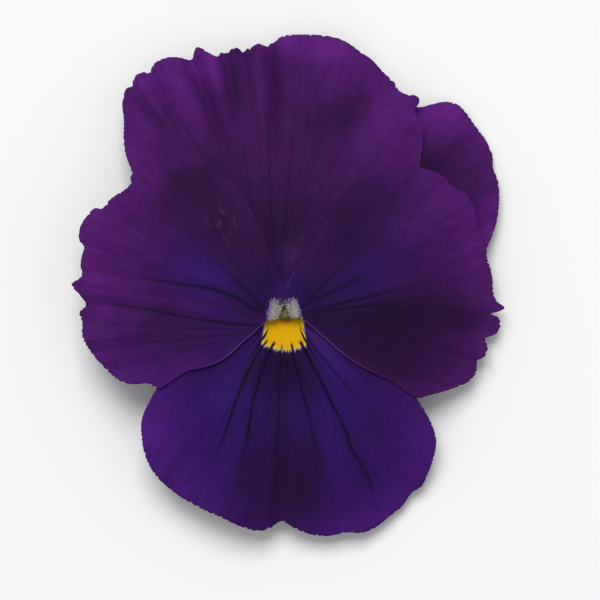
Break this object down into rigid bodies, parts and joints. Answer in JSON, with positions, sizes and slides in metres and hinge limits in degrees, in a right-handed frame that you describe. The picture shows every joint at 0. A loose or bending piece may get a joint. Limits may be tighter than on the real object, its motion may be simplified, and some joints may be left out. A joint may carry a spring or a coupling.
{
  "type": "pansy flower",
  "caption": "Cut pansy bloom lying face up: overlapping dark purple petals, a violet lip with a yellow eye and spur, green sepals and a short stalk.",
  "frame": {"origin": "middle of the base of the bloom's box, on the surface that the bloom lies on", "axes": "+X to the right of the bloom as it is seen face on, +Y to its upper petals, +Z out of its face, away from the surface it lies on"},
  "size_m": [0.0591, 0.07, 0.0104],
  "materials": {
    "petal_purple": "velvety dark purple petal, magenta towards its margin, with fine dark veins",
    "petal_violet": "velvety blue-violet petal with dark veins, a dark middle stripe and a yellow eye",
    "sepal_green": "soft leaf green with pale veins",
    "stalk_green": "smooth fresh green stalk with a pale cut end",
    "stigma_olive": "moist olive green",
    "anther_cream": "powdery cream with an orange tip"
  },
  "bodies": {
    "root": {"petal_lateral_left": "petal_purple", "petal_lateral_right": "petal_purple", "petal_upper_left": "petal_purple", "petal_upper_right": "petal_purple", "petal_lower": "petal_violet", "sepal_top": "sepal_green", "sepal_left": "sepal_green", "sepal_right": "sepal_green", "sepal_lower_left": "sepal_green", "sepal_lower_right": "sepal_green", "pedicel": "stalk_green", "pistil": "stigma_olive", "stamen_top": "anther_cream", "stamen_left": "anther_cream", "stamen_right": "anther_cream", "stamen_lower_left": "anther_cream", "stamen_lower_right": "anther_cream"}
  },
  "joints": []
}
